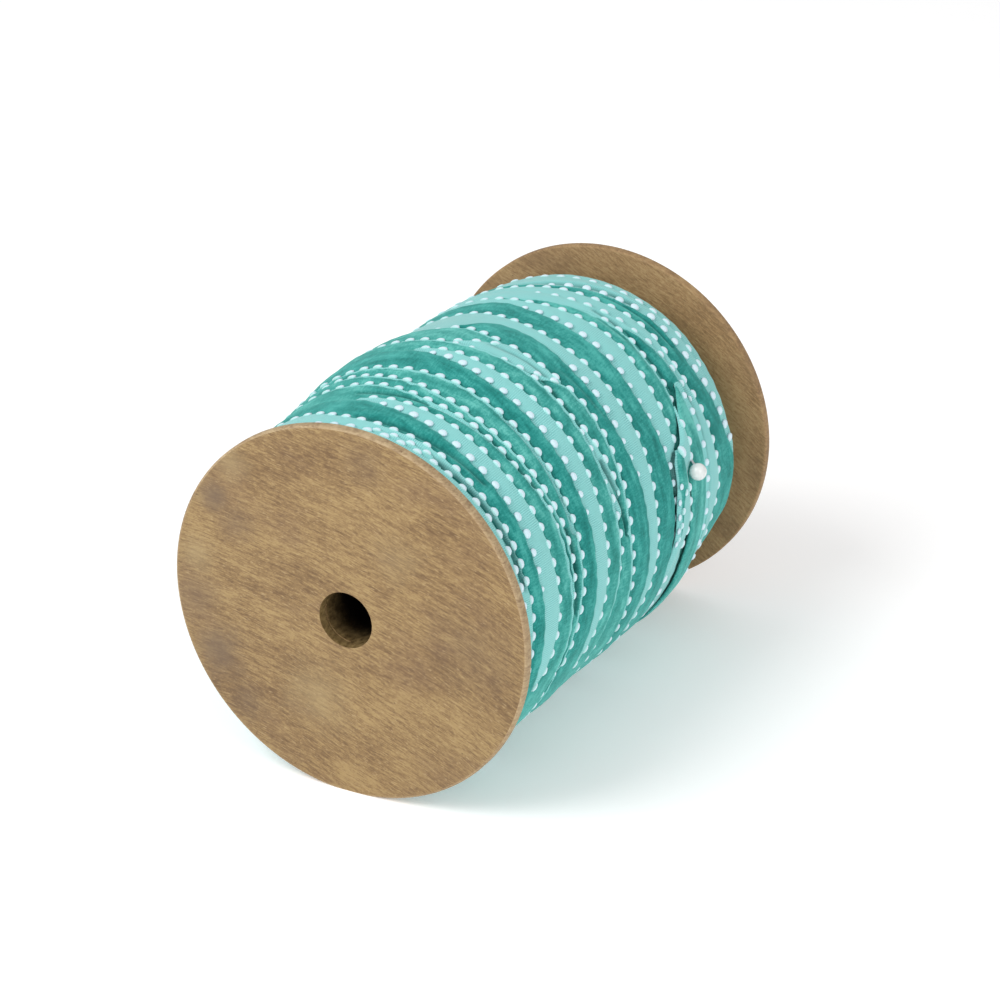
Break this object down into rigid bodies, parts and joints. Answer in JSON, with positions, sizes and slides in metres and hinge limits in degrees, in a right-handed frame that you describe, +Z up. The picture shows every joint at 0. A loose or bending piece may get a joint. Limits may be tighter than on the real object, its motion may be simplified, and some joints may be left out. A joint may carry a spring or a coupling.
{
  "type": "velvet ribbon on a wooden spool",
  "caption": "Velvet ribbon with a looped picot edge, wound in overlapping turns on a small wooden spool that lies on its side, its end folded over and held by a pearl-headed pin.",
  "frame": {"origin": "on the surface that the spool lies on, below the middle of its length", "axes": "+Z up, +Y along the spool's axis from the front disc to the back disc, +X towards the side with the pinned loose end"},
  "size_m": [0.0791, 0.109, 0.0766],
  "materials": {
    "wood": "bare light wood with fine grain, matt",
    "velvet": "short cut pile in blue-green, paler ribbed back, pale looped edge",
    "pearl": "pearly, glossy",
    "steel": "bright"
  },
  "bodies": {
    "root": {"front_disc": "wood", "back_disc": "wood", "core": "wood", "wound_ribbon": "velvet", "ribbon_end": "velvet", "pin_head": "pearl", "pin_shaft": "steel"}
  },
  "joints": []
}
